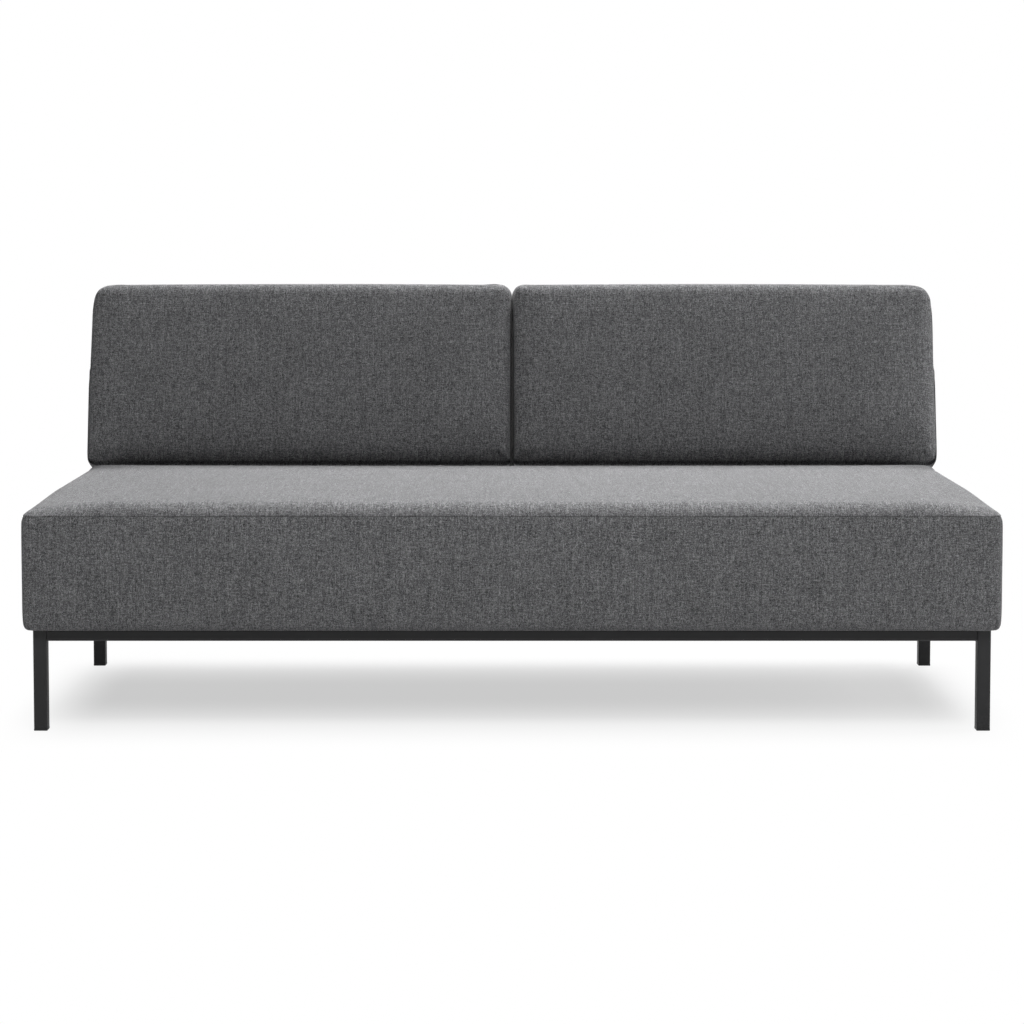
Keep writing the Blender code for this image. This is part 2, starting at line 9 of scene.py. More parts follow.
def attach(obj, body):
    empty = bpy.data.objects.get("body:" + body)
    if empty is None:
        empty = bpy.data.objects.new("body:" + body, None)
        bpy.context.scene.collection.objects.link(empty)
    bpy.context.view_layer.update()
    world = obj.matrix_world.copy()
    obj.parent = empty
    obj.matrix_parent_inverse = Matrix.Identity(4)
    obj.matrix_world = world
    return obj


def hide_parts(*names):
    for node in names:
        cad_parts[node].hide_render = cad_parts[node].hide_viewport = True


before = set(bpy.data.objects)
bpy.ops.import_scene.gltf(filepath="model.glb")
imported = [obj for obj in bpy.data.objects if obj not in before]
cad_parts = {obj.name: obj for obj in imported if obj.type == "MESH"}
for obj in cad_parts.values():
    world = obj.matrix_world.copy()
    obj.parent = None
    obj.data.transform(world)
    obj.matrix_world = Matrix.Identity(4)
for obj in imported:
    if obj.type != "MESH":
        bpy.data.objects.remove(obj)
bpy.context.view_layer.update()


# Steel base. Legs, rails and cross members of thin square tube, butt-welded, ground flush and
# powder-coated satin black, with the faint orange peel that baked powder has.
class Shade:
    """A socket in a finish's node tree. Sums and products of sockets become Math nodes."""

    def __init__(self, tree, socket=None):
        self.tree = tree
        self.socket = socket

    def node(self, kind, inputs=None, out=0, **settings):
        made = self.tree.nodes.new("ShaderNode" + kind)
        for name, value in settings.items():
            setattr(made, name, value)
        for name, value in (inputs or {}).items():
            if isinstance(value, Shade):
                self.tree.links.new(value.socket, made.inputs[name])
            else:
                made.inputs[name].default_value = value
        return Shade(self.tree, made.outputs[out])

    def beside(self, name):
        """Another output of the node that this socket belongs to."""
        return Shade(self.tree, self.socket.node.outputs[name])

    def math(self, operation, *values):
        return self.node("Math", dict(enumerate(values)), operation=operation)

    def __add__(self, other):
        return self.math("ADD", self, other)

    def __sub__(self, other):
        return self.math("SUBTRACT", self, other)

    def __rsub__(self, other):
        return self.math("SUBTRACT", other, self)

    def __mul__(self, other):
        return self.math("MULTIPLY", self, other)

    __radd__ = __add__
    __rmul__ = __mul__

    def stretched(self, x, y, z):
        """The vector with its parts multiplied."""
        return self.node("VectorMath", {0: self, 1: (x, y, z)}, operation="MULTIPLY")

    def between(self, dark, light):
        """A colour that goes from dark to light as this value goes from 0 to 1."""
        colours = {"Factor": self, "A": (*dark, 1.0), "B": (*light, 1.0)}
        return self.node("Mix", colours, out=2, data_type="RGBA")


class Finish:
    """A material, its shader, and the start of its node tree."""

    def __init__(self, name, **constants):
        self.material = bpy.data.materials.new(name)
        self.material.use_nodes = True
        self.shader = self.material.node_tree.nodes["Principled BSDF"]
        self.start = Shade(self.material.node_tree)
        for socket, value in constants.items():
            self.shader.inputs[socket.replace("_", " ")].default_value = value

    def varies(self, socket, shade):
        self.material.node_tree.links.new(shade.socket, self.shader.inputs[socket])

    def raised(self, height, depth, strength=1.0):
        bump = self.start.node("Bump", {"Height": height, "Distance": depth, "Strength": strength})
        self.varies("Normal", bump)

    def wear(self, *names):
        """Puts this finish on the CAD nodes of these names."""
        for name in names:
            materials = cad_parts[name].data.materials
            materials.clear()
            materials.append(self.material)


def grain(start, where, scale, detail=2.0, roughness=0.5):
    """Noise from 0 to 1 at a scale in marks per metre."""
    settings = {"Vector": where, "Scale": scale, "Detail": detail, "Roughness": roughness}
    return start.node("TexNoise", settings)


powder_coat = Finish("satin_black_powder", Specular_IOR_Level=0.3)
place = powder_coat.start.node("TexCoord", out=3)
peel = grain(place, place, 700.0, 2.0)
patches = grain(place, place, 14.0, 3.0)
powder_coat.varies("Base Color", patches.between((0.023, 0.023, 0.024), (0.031, 0.031, 0.032)))
powder_coat.varies("Roughness", patches * 0.10 + 0.52)
powder_coat.raised(peel, 0.00006)

ENDS = ("front", "rear")
SIDES = ("left", "right")
CORNERS = [f"{end}_{side}" for end in ENDS for side in SIDES]
powder_coat.wear(*(f"leg_{corner}" for corner in CORNERS))
powder_coat.wear(*(f"base_rail_{where}" for where in ENDS + SIDES))
powder_coat.wear(*(f"cross_member_{side}" for side in SIDES))


# Foot glides. Moulded black nylon feet, pressed into the open ends of the legs, with a matt
# spark-eroded skin and a few scuffs from being pushed about.
nylon = Finish("black_nylon", Specular_IOR_Level=0.4)
place = nylon.start.node("TexCoord", out=3)
scuffs = grain(place, place.stretched(1.0, 1.0, 3.0), 160.0, 4.0)
nylon.varies("Base Color", scuffs.between((0.010, 0.010, 0.011), (0.030, 0.030, 0.031)))
nylon.varies("Roughness", scuffs * 0.25 + 0.45)
nylon.raised(grain(place, place, 1800.0, 1.0), 0.00008)
nylon.wear(*(f"foot_glide_{corner}" for corner in CORNERS))


# Bolts, screws and hinge pins. Zinc-plated steel, a little dulled and uneven as plating is.
zinc = Finish("zinc_plating", Metallic=1.0)
place = zinc.start.node("TexCoord", out=3)
bloom = grain(place, place, 220.0, 4.0)
zinc.varies("Base Color", bloom.between((0.46, 0.47, 0.48), (0.66, 0.67, 0.67)))
zinc.varies("Roughness", bloom * 0.3 + 0.25)
zinc.raised(grain(place, place, 1500.0, 2.0), 0.00004)
zinc.wear(*(f"base_bolt_{corner}" for corner in CORNERS))
HINGES = [f"{side}_{where}" for side in SIDES for where in ("outer", "inner")]
zinc.wear(*(f"hinge_pin_{hinge}" for hinge in HINGES))
zinc.wear(*(f"arm_screw_{hinge}_{level}" for hinge in HINGES for level in ("lower", "upper")))


# Seat frame and back stiles. Planed softwood, glued and screwed, inside the upholstery. The grain
# runs along each piece, so there is one finish for each direction.
def softwood(name, along):
    wood = Finish(name, Specular_IOR_Level=0.3)
    spot = wood.start.node("TexCoord", out=3)
    stretch = [60.0, 60.0, 60.0]
    stretch[along] = 3.0
    rings = grain(spot, spot.stretched(*stretch), 1.0, 4.0, 0.6)
    bands = rings.math("SINE", rings * 40.0) * 0.5 + 0.5
    wood.varies("Base Color", bands.between((0.62, 0.42, 0.22), (0.76, 0.58, 0.36)))
    wood.varies("Roughness", bands * 0.15 + 0.6)
    wood.raised(bands, 0.0001)
    return wood


softwood("softwood_lengthwise", 0).wear("seat_rail_front", "seat_rail_rear")
crosswise = [f"seat_{piece}_{side}" for piece in ("rail", "bearer") for side in SIDES]
softwood("softwood_crosswise", 1).wear(*crosswise)
stiles = [f"{side}_back_stile_{where}" for side in SIDES for where in ("outer", "inner")]
softwood("softwood_upright", 2).wear(*stiles)


# Seat deck and back boards. Thin birch plywood, screwed to the frames under the foam.
plywood = Finish("birch_plywood", Specular_IOR_Level=0.3)
place = plywood.start.node("TexCoord", out=3)
figure = grain(place, place.stretched(6.0, 90.0, 90.0), 1.0, 5.0, 0.6)
plywood.varies("Base Color", figure.between((0.58, 0.43, 0.27), (0.75, 0.61, 0.43)))
plywood.varies("Roughness", figure * 0.2 + 0.55)
plywood.raised(figure, 0.0001)
plywood.wear("seat_deck", "left_back_board", "right_back_board")


# Seat. A firm foam block over the deck in a sewn cover of grey melange weave. The top panel turns
# over the rounded edge to a plain seam, and a border with corner seams goes down to the frame.
SEAT_SIZE = (1.8075, 0.760, 0.2355)
SEAT_RADIUS = 0.034
SEAT_REAR_RADIUS = 0.014
SEAT_PLACE = Matrix.Translation((0.0, -0.50234, 0.1888))
SEAT_SEAM_DROP = 0.0250
SEAT_POCKET = 0.0729
SEAM_HALF_WIDTH = 0.0016
SEAM_DEPTH = 0.0010
SEAT_CROWN = 0.005
SEAT_BELLY = 0.004
SEAT_ROLL = 0.044
SEAT_FALL = 0.012
SEAT_LIP = 0.0045
CLOTH_CELL = 0.020
RIM = 0.006
UNDER_RADIUS = 0.016
TURNED_IN = 0.003


def slice_flat(bm, through, normal, faces=None):
    """Cuts the faces, or all of them, along a plane."""
    if faces is None:
        faces = bm.faces[:]
    edges = {edge for face in faces for edge in face.edges}
    verts = {vert for face in faces for vert in face.verts}
    geom = [*faces, *edges, *verts]
    bmesh.ops.bisect_plane(bm, geom=geom, dist=1e-5, plane_co=through, plane_no=normal)


def smooth(share):
    """A share, kept from 0 to 1, with soft ends."""
    share = min(max(share, 0.0), 1.0)
    return share * share * (3.0 - 2.0 * share)


def pull(bm, faces, move):
    """Extrudes a patch of faces, moves its points, and returns the patch."""
    made = bmesh.ops.extrude_face_region(bm, geom=faces)["geom"]
    bmesh.ops.delete(bm, geom=faces, context="FACES")
    for vert in made:
        if isinstance(vert, bmesh.types.BMVert):
            vert.co = move(vert.co)
    return [face for face in made if isinstance(face, bmesh.types.BMFace)]


def power(rounded, radius):
    """The power that turns a round of this radius into one that is as tight as a smaller one."""
    return math.log(1.0 - (1.0 - math.sqrt(0.5)) * rounded / radius, math.sqrt(0.5))


def slacken(into, up, rounded, radius):
    """Widens a rounded corner. The point's distances from the corner's two sides come back moved."""
    a = 1.0 - into / rounded
    b = 1.0 - up / rounded
    if a <= 0.0 or b <= 0.0:
        return into, up
    reach = math.hypot(a, b)
    slope = max(a, b) / reach
    edge = 1.0 / slope
    centre = 1.0 - radius / rounded
    if edge * min(a, b) / reach > centre:
        along = centre * (a + b) / reach
        edge = along + math.sqrt(along**2 - 2.0 * centre**2 + (radius / rounded) ** 2)
    grown = 1.0 + (reach / edge) ** 2 * (1.0 / edge - 1.0)
    return rounded * (1.0 - a * grown), rounded * (1.0 - b * grown)


LIP_FROM = 0.45
LIP_TO = 0.75


def draw_tight(bm, size, radius, rear_radius, corners, lip):
    """Pulls the cloth tighter round the underside, the rear edge and the upright corners. Each corner
    has its own radius, tighter or slacker than the cushion's edges. A lip may hang at the border's
    lower edge."""
    width, depth, height = size
    under = power(UNDER_RADIUS, radius)
    behind = power(rear_radius, radius)
    for vert in bm.verts:
        side = math.copysign(1.0, vert.co.x)
        end = math.copysign(1.0, vert.co.y - depth / 2)
        out_x = max(abs(vert.co.x) - width / 2 + radius, 0.0) / radius
        out_y = max(abs(vert.co.y - depth / 2) - depth / 2 + radius, 0.0) / radius
        out = math.hypot(out_x, out_y)
        rounded = corners[side, end]
        if out > 1e-6:
            reach = out
            below = (radius - vert.co.z) / radius
            above = (vert.co.z - height + radius) / radius
            if below > 0.0:
                reach = min(out, 1.0) ** under
                hang = min(max((reach - LIP_FROM) / (LIP_TO - LIP_FROM), 0.0), 1.0)
                hang *= end < 0.0 or out_x > out_y
                vert.co.z = radius * (1.0 - below**under) - lip * hang * below
            elif above > 0.0 and end > 0.0:
                over = 1.0 + (behind - 1.0) * out_y / out
                reach = min(out, 1.0) ** over
                vert.co.z = height - radius * (1.0 - above**over)
            tight = power(min(rounded, radius), radius)
            past_x = radius * reach * (out_x / out) ** tight
            past_y = radius * reach * (out_y / out) ** tight
            vert.co.x = side * (min(abs(vert.co.x), width / 2 - radius) + past_x)
            straight_y = min(abs(vert.co.y - depth / 2), depth / 2 - radius)
            vert.co.y = depth / 2 + end * (straight_y + past_y)
        if rounded > radius:
            from_side = width / 2 - abs(vert.co.x)
            from_end = depth / 2 - abs(vert.co.y - depth / 2)
            from_side, from_end = slacken(from_side, from_end, rounded, radius)
            vert.co.x = side * (width / 2 - from_side)
            vert.co.y = depth / 2 + end * (depth / 2 - from_end)


def boxed_cover(size, radius, rear_radius, pocket, corners, lip):
    """A rounded box with its front at y = 0 and its underside at z = 0, hollowed for the wood."""
    width, depth, height = size
    bm = bmesh.new()
    bmesh.ops.create_cube(bm, size=1.0)
    bmesh.ops.scale(bm, vec=size, verts=bm.verts)
    bmesh.ops.translate(bm, vec=(0.0, depth / 2, height / 2), verts=bm.verts)
    edge = radius + RIM
    for axis, start in enumerate((-width / 2, 0.0, 0.0)):
        normal = Vector([float(axis == other) for other in range(3)])
        flat = size[axis] - 2 * edge
        cells = round(flat / CLOTH_CELL)
        for cell in range(cells + 1):
            slice_flat(bm, normal * (start + edge + flat * cell / cells), normal)
    box_edges = [line for line in bm.edges if line.calc_face_angle() > math.radians(45)]
    bmesh.ops.bevel(
        bm, geom=box_edges, offset=radius, segments=6, profile=0.5, affect="EDGES", material=-1
    )
    draw_tight(bm, size, radius, rear_radius, corners, lip)
    bm.normal_update()
    turned = edge + 0.9 * CLOTH_CELL
    under = []
    for face in bm.faces:
        middle = face.calc_center_median()
        inside = abs(middle.x) < width / 2 - turned and abs(middle.y - depth / 2) < depth / 2 - turned
        if inside and face.normal.z < -0.99:
            under.append(face)
    reach_x = max(abs(vert.co.x) for face in under for vert in face.verts)
    reach_y = max(abs(vert.co.y - depth / 2) for face in under for vert in face.verts)
    widen_x = (width / 2 - edge) / reach_x
    widen_y = (depth / 2 - edge) / reach_y
    under = pull(bm, under, lambda co: co + Vector((0.0, 0.0, TURNED_IN)))
    under = pull(
        bm, under, lambda co: Vector((co.x * widen_x, depth / 2 + (co.y - depth / 2) * widen_y, co.z))
    )
    pull(bm, under, lambda co: co + Vector((0.0, 0.0, pocket - TURNED_IN)))
    return bm


SEAM_HOLD = 0.002
UNDER_HOLD = 0.004
POCKET_FROM = 0.02
PRESSURE = 4.0
LAST_FRAME = 20
FIRMNESS = (1.0, 1.0, 2.0)


def pumped(obj, size, seam_z, crown, belly):
    """Swells the cover against its seams with air pressure, as foam does, by at most the crown on
    top and the belly at the sides. Seams, underside and pocket are held."""
    width, depth, height = size
    mesh = obj.data
    rest = np.empty(len(mesh.vertices) * 3, np.float32)
    mesh.vertices.foreach_get("co", rest)
    rest = rest.reshape(-1, 3)
    from_side = np.minimum(width / 2 - np.abs(rest[:, 0]), np.minimum(rest[:, 1], depth - rest[:, 1]))
    held = (np.abs(rest[:, 2] - seam_z) < SEAM_HOLD) | (rest[:, 2] < UNDER_HOLD)
    held |= (from_side > POCKET_FROM) & (rest[:, 2] < height / 2)
    group = obj.vertex_groups.new(name="held")
    group.add([int(index) for index in np.flatnonzero(held)], 1.0, "REPLACE")
    cloth = obj.modifiers.new("cloth", "CLOTH")
    cloth.settings.quality = 5
    cloth.settings.mass = 0.3
    cloth.settings.tension_stiffness = 30.0
    cloth.settings.compression_stiffness = 30.0
    cloth.settings.shear_stiffness = 15.0
    cloth.settings.bending_stiffness = 4.0
    cloth.settings.air_damping = 4.0
    cloth.settings.use_pressure = True
    cloth.settings.uniform_pressure_force = PRESSURE
    cloth.settings.vertex_group_mass = "held"
    cloth.settings.effector_weights.gravity = 0.0
    cloth.point_cache.frame_start = 1
    cloth.point_cache.frame_end = LAST_FRAME
    for number in range(1, LAST_FRAME + 1):
        bpy.context.scene.frame_set(number)
    graph = bpy.context.evaluated_depsgraph_get()
    swollen = np.empty(len(mesh.vertices) * 3, np.float32)
    obj.evaluated_get(graph).data.vertices.foreach_get("co", swollen)
    obj.modifiers.remove(cloth)
    obj.vertex_groups.remove(group)
    bpy.context.scene.frame_set(1)
    move = swollen.reshape(-1, 3) - rest
    limit = np.array([belly, belly, crown], np.float32)
    firmness = np.array(FIRMNESS, np.float32)
    move = limit * np.tanh(firmness * move / np.abs(move).max(0)) / np.tanh(firmness)
    mesh.vertices.foreach_set("co", (rest + move).ravel())


SHOULDER = 0.024
SHOULDER_DEPTH = 0.0020


def shoulder(bm, seam_z):
    """Lets the border swell out below the seam that holds it in."""
    up = Vector((0.0, 0.0, 1.0))
    for part in (-0.05, 0.2, 0.35, 0.55, 0.8):
        slice_flat(bm, up * (seam_z - part * SHOULDER), up)
    bm.normal_update()
    drawn = []
    for vert in bm.verts:
        away = (seam_z - vert.co.z) / SHOULDER
        if -0.01 < away < 1.0:
            away = max(away, 0.0)
            drawn.append((vert, vert.normal * SHOULDER_DEPTH * (1.0 - away) ** 3))
    for vert, inward in drawn:
        vert.co -= inward


UNDER_EDGE = 0.006


def sewn(bm, size, radius, seam_z, corner_seams):
    """Draws the cloth in along the seams: one round the top panel, and one down each corner."""
    width, depth, height = size
    lines = [(Vector((0.0, 0.0, seam_z)), Vector((0.0, 0.0, 1.0)), None)]
    if corner_seams:
        for side in (-1, 1):
            for end in (-1, 1):
                middle_y = depth / 2 + end * (depth / 2 - radius)
                axis = Vector((side * (width / 2 - radius), middle_y, 0.0))
                lines.append((axis, Vector((side, -end, 0.0)).normalized(), (side, end)))
    for through, normal, corner in lines:
        for step in (-1.0, -0.45, 0.0, 0.45, 1.0):
            faces = bm.faces[:]
            if corner:
                faces = [face for face in faces if in_corner(face, through, corner, seam_z)]
            slice_flat(bm, through + normal * step * SEAM_HALF_WIDTH, normal, faces)
        bm.normal_update()
        drawn = []
        for vert in bm.verts:
            away = abs((vert.co - through).dot(normal)) / SEAM_HALF_WIDTH
            if away > 0.99 or (not corner and vert.co.z < height / 2):
                continue
            if corner and not all(in_corner(face, through, corner, seam_z) for face in vert.link_faces):
                continue
            drawn.append((vert, vert.normal * SEAM_DEPTH * (1 - away) ** 1.5))
        for vert, inward in drawn:
            vert.co -= inward


def in_corner(face, axis, corner, seam_z):
    """Whether a face lies on the rounded upright corner, between the underside and the seam."""
    middle = face.calc_center_median()
    outside = (middle.x - axis.x) * corner[0] > 0 and (middle.y - axis.y) * corner[1] > 0
    return outside and UNDER_EDGE < middle.z < seam_z - SEAM_HALF_WIDTH


def cut_pattern(bm, size, radius, seam_z):
    """Lays each panel flat in the cover's UV map, in metres, so that the weave runs true on it."""
    width, depth, height = size

    def laid(offset, half):
        past = min(max(abs(offset) - (half - radius), 0.0) / radius, 1.0)
        return math.copysign(min(abs(offset), half - radius) + radius * math.asin(past), offset)

    layer = bm.loops.layers.uv.new("cloth")
    for face in bm.faces:
        middle = face.calc_center_median()
        normal = face.normal
        for loop in face.loops:
            x, y, z = loop.vert.co
            along = laid(x, width / 2)
            across = laid(y - depth / 2, depth / 2)
            up = laid(z - height / 2, height / 2)
            if middle.z > seam_z:
                loop[layer].uv = (along, across)
            elif normal.z < -0.8:
                loop[layer].uv = (x, y + 7.0)
            elif abs(normal.y) > abs(normal.x):
                loop[layer].uv = (along + 3.0 * math.copysign(1.0, normal.y), up + 3.0)
            else:
                loop[layer].uv = (across + 5.0 * math.copysign(1.0, normal.x), up - 3.0)


FALL_ALONG_SIDE = 0.33
FALL_ALONG_FRONT = 0.16


def droop(bm, size, seam_z, fall):
    """Lets the top panel sink at the two front corners, where the cover pulls the foam down."""
    width, _, height = size
    for vert in bm.verts:
        if vert.co.z <= seam_z:
            continue
        along_front = 1.0 - smooth((width / 2 - abs(vert.co.x)) / FALL_ALONG_FRONT)
        along_side = 1.0 - smooth(vert.co.y / FALL_ALONG_SIDE)
        vert.co.z -= fall * along_front * along_side * (vert.co.z - seam_z) / (height - seam_z)


CHIN_FROM = 0.66


def roll_front(bm, size, radius, rounded, chin):
    """Rolls the front edge over in a wider round than the others. The last part of it may come out
    again as a chin. On a standing cushion it is the lower edge."""
    for vert in bm.verts:
        low, deep = slacken(vert.co.y, size[2] - vert.co.z, rounded, radius)
        past = deep - CHIN_FROM * rounded
        if past > 0.0 and deep < rounded + 1e-5:
            deep -= chin * past
        vert.co.y = low
        vert.co.z = size[2] - deep


def tip(bm, size, dip, way):
    """Raises the top panel toward its front edge, or lowers it again, so that a seam that is cut level
    in between comes out lower there."""
    for vert in bm.verts:
        share = 1.0 + dip / size[2] * (1.0 - vert.co.y / size[1])
        vert.co.z *= share**way


STRAP_AT = 0.328
STRAP_CLEAR = 0.027
STRAP_EASE = 0.016
STRAP_LIFT = 0.0020
SAG_REACH = 0.006
SAG_FROM_REAR = 0.060
OUTER_SAG = 0.35


def hang_low(bm, sag, meets):
    """Lets a standing cushion's lower end hang down, except over the two hinge straps under it and
    along its rear edge. Outside the straps it hangs less."""
    along = Vector((1.0, 0.0, 0.0))
    for strap in (-STRAP_AT, STRAP_AT):
        for share in (0.0, 0.5, 1.0):
            for way in (-1, 1):
                slice_flat(bm, along * (strap + way * (STRAP_CLEAR + share * STRAP_EASE)), along)
    for vert in bm.verts:
        low = smooth(1.0 - vert.co.y / SAG_REACH) * smooth(vert.co.z / SAG_FROM_REAR)
        free = smooth((abs(abs(vert.co.x) - STRAP_AT) - STRAP_CLEAR) / STRAP_EASE)
        hang = sag
        if vert.co.x * math.copysign(1.0, meets) < -STRAP_AT:
            hang *= OUTER_SAG
        vert.co.y -= low * (hang * free - STRAP_LIFT * (1.0 - free))


CONTACT_TO = 0.050
SLOT_FROM = 0.085
HALF_SLOT = 0.0026
TOP_CONTACT = 0.045
LOW_TOUCH = 3.0
TOP_TOUCH = 0.6


def press(bm, size, radius, meets):
    """Spreads a side until it meets the neighbour deep down, and keeps a slot open in front."""
    toward = math.copysign(1.0, meets)
    for vert in bm.verts:
        past = (vert.co.x * toward - size[0] / 2 + radius) / radius
        if past <= 0.0:
            continue
        low = max(1.0 - vert.co.y / (2.0 * radius), 0.0)
        high = max(1.0 - (size[1] - vert.co.y) / (3.0 * radius), 0.0)
        contact_to = CONTACT_TO + high * TOP_CONTACT
        deep = 1.0 - smooth((vert.co.z - contact_to) / (SLOT_FROM - CONTACT_TO))
        limit = size[0] / 2 - HALF_SLOT + deep * (abs(meets) - size[0] / 2 + HALF_SLOT)
        touch = min(past * (1.0 + LOW_TOUCH * low + TOP_TOUCH * high), 1.0) ** 2
        spread = vert.co.x * toward + deep * (abs(meets) - vert.co.x * toward) * touch
        vert.co.x = toward * min(spread, limit)


def upholster(
    name, size, radius, rear_radius, corners, seam_drop, pocket, crown, belly, place,
    rolled=0.0, chin=0.0, dip=0.0, fall=0.0, lip=0.0, meets=0.0, sag=0.0,
):
    """A finished cushion at its place: cut, sewn, filled and covered. Its front edge may be rolled
    over to a chin, with a seam that dips there. Its front corners may fall, its border may end in
    a lip, a side may be pressed against a neighbour, and its lower end may sag when it stands."""
    seam_z = size[2] - seam_drop
    bm = boxed_cover(size, radius, rear_radius, pocket, corners, lip)
    if rolled:
        roll_front(bm, size, radius, rolled, chin)
    tip(bm, size, dip, 1)
    slice_flat(bm, Vector((0.0, 0.0, seam_z)), Vector((0.0, 0.0, 1.0)))
    mesh = bpy.data.meshes.new(name)
    bm.to_mesh(mesh)
    bm.free()
    pad = bpy.data.objects.new(name, mesh)
    bpy.context.scene.collection.objects.link(pad)
    pumped(pad, size, seam_z, crown, belly)
    bm = bmesh.new()
    bm.from_mesh(mesh)
    bm.normal_update()
    if fall:
        droop(bm, size, seam_z, fall)
        shoulder(bm, seam_z)
    sewn(bm, size, radius, seam_z, corner_seams=bool(fall))
    bm.normal_update()
    cut_pattern(bm, size, radius, seam_z)
    tip(bm, size, dip, -1)
    if meets:
        press(bm, size, radius, meets)
    if sag:
        hang_low(bm, sag, meets)
    bmesh.ops.transform(bm, matrix=place, verts=bm.verts)
    bm.to_mesh(mesh)
    bm.free()
    mesh.shade_smooth()
    mesh.materials.append(weave.material)
    round_off = pad.modifiers.new("round_off", "SUBSURF")
    round_off.levels = 1
    round_off.render_levels = 1
    return pad


YARN = 0.0011
weave = Finish("grey_melange_weave", Sheen_Weight=0.15, Sheen_Roughness=0.40, Specular_IOR_Level=0.2)
flat = weave.start.node("UVMap", uv_map="cloth")
wander = (grain(flat, flat, 45.0, 1.0) - 0.5) * (1.2 * YARN)
parts = flat.node("SeparateXYZ", {0: flat})
warp = (parts + wander) * (1 / YARN)
weft = (parts.beside("Y") + wander) * (1 / YARN)
over = warp.math("SINE", warp * math.pi) * weft.math("SINE", weft * math.pi)
on_top = over.math("GREATER_THAN", over, 0.0)
warp_number = warp.math("FLOOR", warp)
weft_number = weft.math("FLOOR", weft)
crossing = warp.node("CombineXYZ", {0: warp_number, 1: weft_number})
float_tone = warp.node("TexWhiteNoise", {"Vector": crossing}, noise_dimensions="2D")


def run_along(number, along, seed, slubs):
    """Tone along a yarn: short flecks where light and dark fibres mix, and long slubs."""
    short = warp.node("CombineXYZ", {0: number * 5.3, 1: along * 0.10, 2: seed})
    long = warp.node("CombineXYZ", {0: number * 3.7, 1: along * 0.030, 2: seed + 4.0})
    slub = warp.node("CombineXYZ", {0: number * 7.1, 1: along * 0.008, 2: seed + 7.0})
    fleck = grain(warp, short, 1.0, 1.0) * 1.15 + grain(warp, long, 1.0, 1.0) * 0.25 - 0.20
    return fleck + (grain(warp, slub, 1.0, 1.0) - 0.5) * slubs


warp_tone = run_along(warp_number, weft, 1.0, 0.50)
weft_tone = run_along(weft_number, warp, 11.0, 0.30)
run_tone = weft_tone + (warp_tone - weft_tone) * on_top
fuzz = grain(warp, flat, 900.0, 3.0, 0.6)
cloud = grain(warp, flat, 9.0, 3.0)
streak = grain(warp, warp.node("CombineXYZ", {0: warp * 0.25, 1: weft * 0.027}), 1.0, 1.0)
tone = float_tone * 0.48 + run_tone * 1.0 + streak * 0.16 + fuzz * 0.15 + cloud * 0.08 - 0.435
tone = tone.node("Clamp", {"Value": tone})
weave.varies("Base Color", (tone * tone).between((0.022, 0.022, 0.023), (0.360, 0.361, 0.371)))
weave.varies("Roughness", 0.95 - tone * 0.12)
weave.raised(over.math("ABSOLUTE", over) * 0.7 + fuzz * 0.6 + float_tone * 0.3, 0.0006, 0.30)

FRONT_CORNER = 0.017
REAR_CORNER = 0.045
SEAT_CORNERS = {}
for side in (-1, 1):
    SEAT_CORNERS[side, -1] = FRONT_CORNER
    SEAT_CORNERS[side, 1] = REAR_CORNER
seat_pad = upholster(
    "seat_pad", SEAT_SIZE, SEAT_RADIUS, SEAT_REAR_RADIUS, SEAT_CORNERS, SEAT_SEAM_DROP, SEAT_POCKET,
    SEAT_CROWN, SEAT_BELLY, SEAT_PLACE, rolled=SEAT_ROLL, fall=SEAT_FALL, lip=SEAT_LIP,
)
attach(seat_pad, "frame_and_seat")
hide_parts("seat_cover", "seat_foam")


# Dust cloth. Black spunbond stapled under the seat frame, stretched flat over the cover's turned-in
# edges, with its own edge folded in and drawn up at each staple.
DUST_SIZE = (1.732, 0.692)
DUST_PLACE = Matrix.Translation((0.0, -0.1223, 0.1880))
SHEET_CELL = 0.008
SHEET_THICK = 0.0005
STAPLE_STEP = 0.045
STAPLE_PULL = 0.0004
STAPLE_SPREAD = 0.012
HEM = 0.012
HEM_SLOPE = 0.004
HEM_DEPTH = 0.0003


def stretched_cloth(name, size, finish, place):
    """A thin cloth lying flat with its right side down, stapled along its folded edge."""
    bm = bmesh.new()
    cells = [round(length / SHEET_CELL) for length in size]
    bmesh.ops.create_grid(bm, x_segments=cells[0], y_segments=cells[1], size=0.5)
    bmesh.ops.scale(bm, vec=(*size, 1.0), verts=bm.verts)
    layer = bm.loops.layers.uv.new("cloth")
    for face in bm.faces:
        for loop in face.loops:
            loop[layer].uv = loop.vert.co.xy
    for vert in bm.verts:
        margins = [length / 2 - abs(at) for length, at in zip(size, vert.co)]
        margin = min(margins)
        along = vert.co[1 - margins.index(margin)]
        fold = min(max((HEM - margin) / HEM_SLOPE, 0.0), 1.0)
        drawn = 0.5 + 0.5 * math.cos(math.tau * along / STAPLE_STEP)
        drawn *= math.exp(-((margin - HEM / 2) / STAPLE_SPREAD) ** 2)
        vert.co.z = -HEM_DEPTH * fold + STAPLE_PULL * drawn
    for edge in bm.edges:
        edge.smooth = not edge.is_boundary
    bmesh.ops.transform(bm, matrix=place, verts=bm.verts)
    mesh = bpy.data.meshes.new(name)
    bm.to_mesh(mesh)
    bm.free()
    mesh.shade_smooth()
    mesh.materials.append(finish.material)
    cloth = bpy.data.objects.new(name, mesh)
    bpy.context.scene.collection.objects.link(cloth)
    thickness = cloth.modifiers.new("thickness", "SOLIDIFY")
    thickness.thickness = SHEET_THICK
    thickness.offset = 0.0
    return cloth


